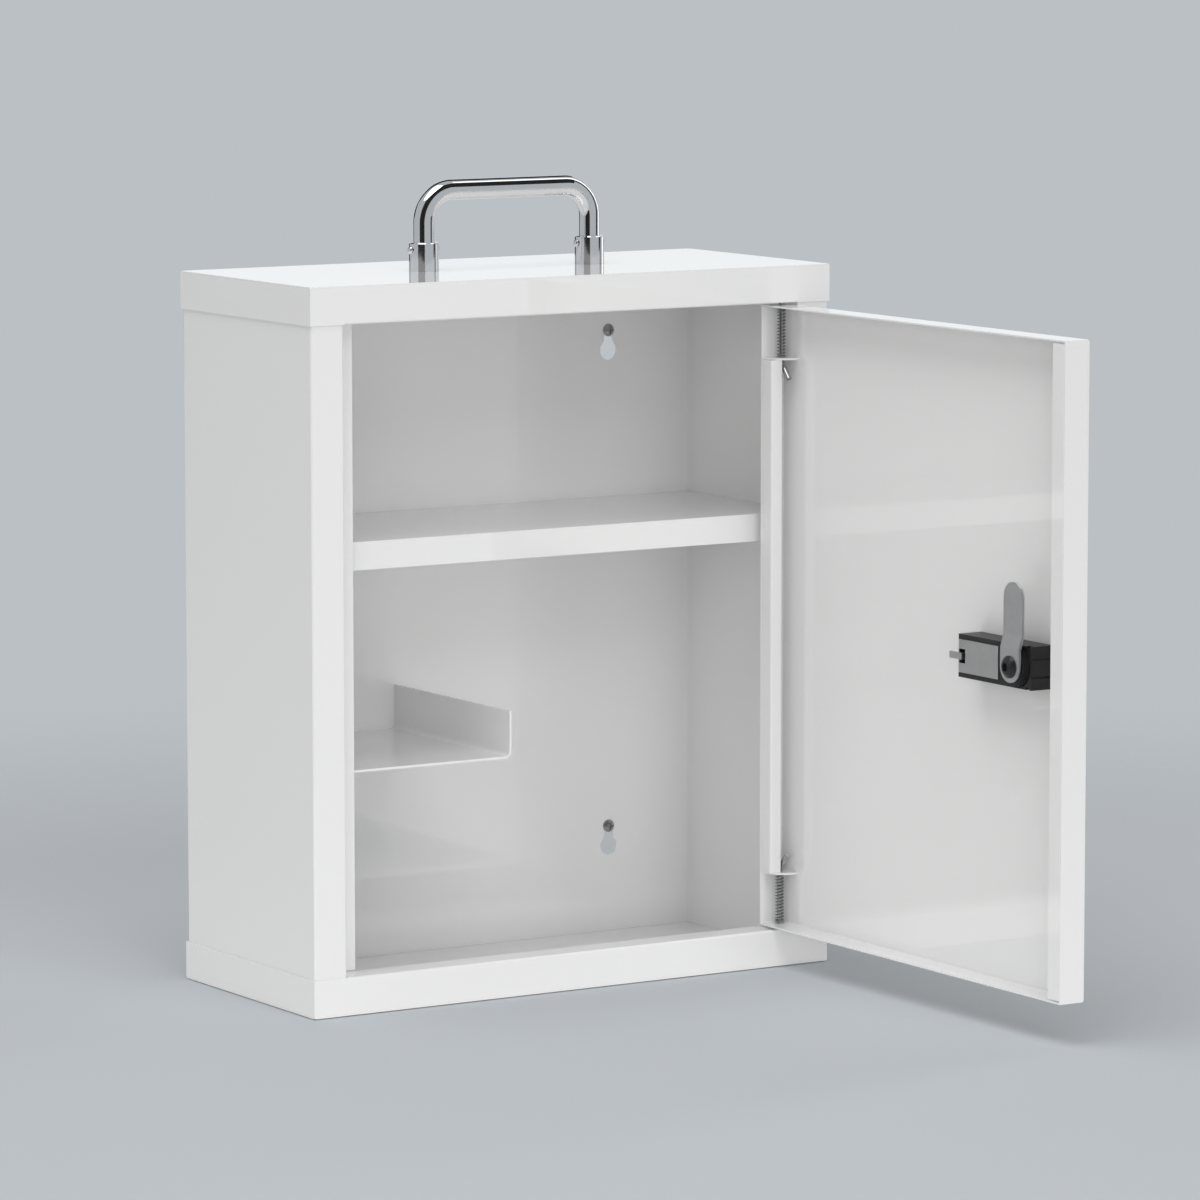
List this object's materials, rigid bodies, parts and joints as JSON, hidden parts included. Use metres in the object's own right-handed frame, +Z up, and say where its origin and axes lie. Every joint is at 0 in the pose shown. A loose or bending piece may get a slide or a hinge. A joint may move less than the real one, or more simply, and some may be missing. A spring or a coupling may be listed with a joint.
{
  "type": "medicine cabinet",
  "caption": "Lockable wall cabinet of folded sheet steel with an open inset door, a shelf, a side tray, a combination cam lock and a folding carry handle.",
  "frame": {"origin": "centre of the case's bottom face", "axes": "+X right as seen from the front, +Y towards the wall, +Z up; rest has the door open by 90 degrees"},
  "size_m": [0.32, 0.4278, 0.428],
  "materials": {
    "white_paint": "satin powder coat",
    "polished_chrome": "polished",
    "satin_chrome": "satin",
    "zinc_steel": "zinc plated, worn bright",
    "spring_steel": "drawn wire",
    "stamped_steel": "satin, stamped",
    "dark_steel": "dark zinc",
    "black_housing": "matte moulded",
    "black_wheel": "moulded",
    "black_screw": "black oxide"
  },
  "bodies": {
    "case": {"case_wrap": "white_paint", "top_cap": "white_paint", "bottom_cap": "white_paint", "shelf": "white_paint", "side_tray": "white_paint", "wall_screws": "dark_steel", "handle_post_left": "satin_chrome", "handle_post_right": "satin_chrome", "handle_pins": "polished_chrome", "handle_screws": "zinc_steel", "handle_washers": "zinc_steel"},
    "handle": {"handle_rod": "polished_chrome"},
    "door": {"door_panel": "white_paint", "gusset_upper": "white_paint", "gusset_lower": "white_paint", "spring_upper": "spring_steel", "spring_lower": "spring_steel", "lock_housing": "black_housing", "lock_bezel": "black_housing", "lock_ring_nut": "black_housing", "lock_back_plate": "stamped_steel", "dial_shaft": "zinc_steel", "detent_spring": "spring_steel"},
    "upper_pin": {"hinge_pin_upper": "zinc_steel", "pin_collar_upper": "zinc_steel"},
    "lower_pin": {"hinge_pin_lower": "zinc_steel", "pin_collar_lower": "zinc_steel"},
    "rotor": {"lock_knob": "black_housing", "key_plug": "zinc_steel", "lock_spindle": "zinc_steel", "lock_cam": "stamped_steel", "cam_screw": "black_screw"},
    "wheel_1": {"dial_wheel_1": "black_wheel"},
    "wheel_2": {"dial_wheel_2": "black_wheel"},
    "wheel_3": {"dial_wheel_3": "black_wheel"},
    "wheel_4": {"dial_wheel_4": "black_wheel"},
    "reset": {"reset_tab": "stamped_steel"}
  },
  "joints": [
    {"name": "door_hinge", "type": "hinge", "parent": "case", "child": "door", "pos_m": [0.1333, -0.0635, 0.19], "axis": [0, 0, 1], "range_deg": [-90, 5]},
    {"name": "lower_pin_slide", "type": "slide", "parent": "door", "child": "lower_pin", "axis": [0, 0, 1], "range_m": [0, 0.007], "stiffness_N_per_m": 600, "springref_m": -0.006, "deforming": ["spring_lower"]},
    {"name": "upper_pin_slide", "type": "slide", "parent": "door", "child": "upper_pin", "axis": [0, 0, -1], "range_m": [0, 0.007], "stiffness_N_per_m": 600, "springref_m": -0.006, "deforming": ["spring_upper"]},
    {"name": "lock_turn", "type": "hinge", "parent": "door", "child": "rotor", "pos_m": [0.1393, -0.2944, 0.19], "axis": [1, 0, 0], "range_deg": [0, 90]},
    {"name": "wheel_1_turn", "type": "hinge", "parent": "door", "child": "wheel_1", "pos_m": [0.1338, -0.2533, 0.19], "axis": [0, 1, 0], "continuous": true},
    {"name": "wheel_2_turn", "type": "hinge", "parent": "door", "child": "wheel_2", "pos_m": [0.1338, -0.2603, 0.19], "axis": [0, 1, 0], "continuous": true},
    {"name": "wheel_3_turn", "type": "hinge", "parent": "door", "child": "wheel_3", "pos_m": [0.1338, -0.2673, 0.19], "axis": [0, 1, 0], "continuous": true},
    {"name": "wheel_4_turn", "type": "hinge", "parent": "door", "child": "wheel_4", "pos_m": [0.1338, -0.2743, 0.19], "axis": [0, 1, 0], "continuous": true},
    {"name": "reset_slide", "type": "slide", "parent": "door", "child": "reset", "axis": [0, -1, 0], "range_m": [0, 0.0015]},
    {"name": "handle_fold", "type": "hinge", "parent": "case", "child": "handle", "pos_m": [0, 0, 0.3912], "axis": [-1, 0, 0], "range_deg": [0, 90]}
  ]
}
